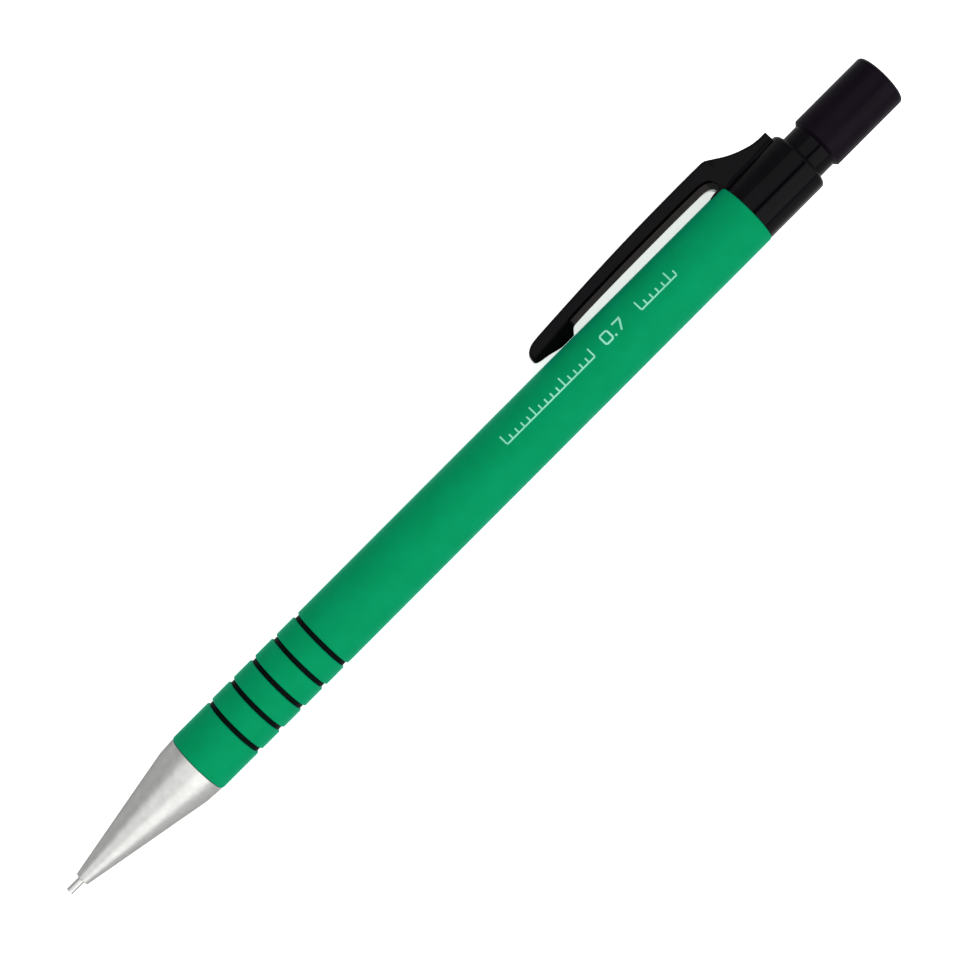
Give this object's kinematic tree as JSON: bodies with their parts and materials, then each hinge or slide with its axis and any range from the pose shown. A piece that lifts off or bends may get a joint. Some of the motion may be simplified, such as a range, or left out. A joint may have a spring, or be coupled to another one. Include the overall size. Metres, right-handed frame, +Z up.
{
  "type": "mechanical pencil",
  "caption": "Slim click mechanical pencil for 0.7 mm lead: metal cone tip, green barrel with recessed grip rings, black clip collar and push cap over an eraser.",
  "frame": {"origin": "on the pencil's axis at the lead sleeve's open end", "axes": "+X along the axis from the tip to the push cap, +Y towards the clip, +Z up with the pencil lying on its barrel"},
  "size_m": [0.1408, 0.0127, 0.0088],
  "materials": {
    "sleeve_steel": "bright drawn steel tube",
    "tip_metal": "satin nickel plate over turned metal",
    "retainer_rubber": "soft black rubber",
    "graphite": "polymer graphite lead, dull sheen",
    "brass": "turned brass",
    "guide_plastic": "natural white moulding",
    "spring_steel": "spring wire",
    "tube_plastic": "milky extruded tube",
    "barrel_green": "soft-touch green, even sheen",
    "ring_rubber": "black rubber",
    "black_gloss": "black moulding, light gloss",
    "black_satin": "black moulding, satin",
    "eraser_white": "white vinyl eraser"
  },
  "bodies": {
    "barrel_body": {"barrel": "barrel_green", "grip_ring_1": "ring_rubber", "grip_ring_2": "ring_rubber", "grip_ring_3": "ring_rubber", "grip_ring_4": "ring_rubber", "grip_ring_5": "ring_rubber", "clip_collar": "black_gloss", "chuck_guide": "guide_plastic", "return_spring": "spring_steel"},
    "tip_body": {"tip_cone": "tip_metal", "lead_sleeve": "sleeve_steel", "lead_retainer": "retainer_rubber"},
    "pusher_body": {"chuck": "brass", "chuck_connector": "guide_plastic", "lead_tube": "tube_plastic", "eraser_holder": "black_gloss"},
    "ring_body": {"chuck_ring": "brass"},
    "cap_body": {"push_cap": "black_satin"},
    "eraser_body": {"eraser": "eraser_white"},
    "lead_body": {"lead": "graphite"}
  },
  "joints": [
    {"name": "push", "type": "slide", "parent": "barrel_body", "child": "pusher_body", "axis": [-1, 0, 0], "range_m": [0, 0.00185], "stiffness_N_per_m": 2000, "springref_m": -0.002, "deforming": ["return_spring"]},
    {"name": "tip_unscrew", "type": "slide", "parent": "barrel_body", "child": "tip_body", "axis": [-1, 0, 0], "range_m": [0, 0.03]},
    {"name": "ring_travel", "type": "slide", "parent": "barrel_body", "child": "ring_body", "axis": [-1, 0, 0], "range_m": [0, 0.00097]},
    {"name": "cap_off", "type": "slide", "parent": "pusher_body", "child": "cap_body", "axis": [1, 0, 0], "range_m": [0, 0.02]},
    {"name": "eraser_out", "type": "slide", "parent": "pusher_body", "child": "eraser_body", "axis": [1, 0, 0], "range_m": [0, 0.0101]},
    {"name": "lead_feed", "type": "slide", "parent": "pusher_body", "child": "lead_body", "axis": [-1, 0, 0], "range_m": [0, 0.0081]}
  ],
  "couplings": [
    {"joint": "ring_travel", "follows": "push", "ratio": 0.52},
    {"joint": "eraser_out", "follows": "cap_off", "ratio": 0.5}
  ]
}
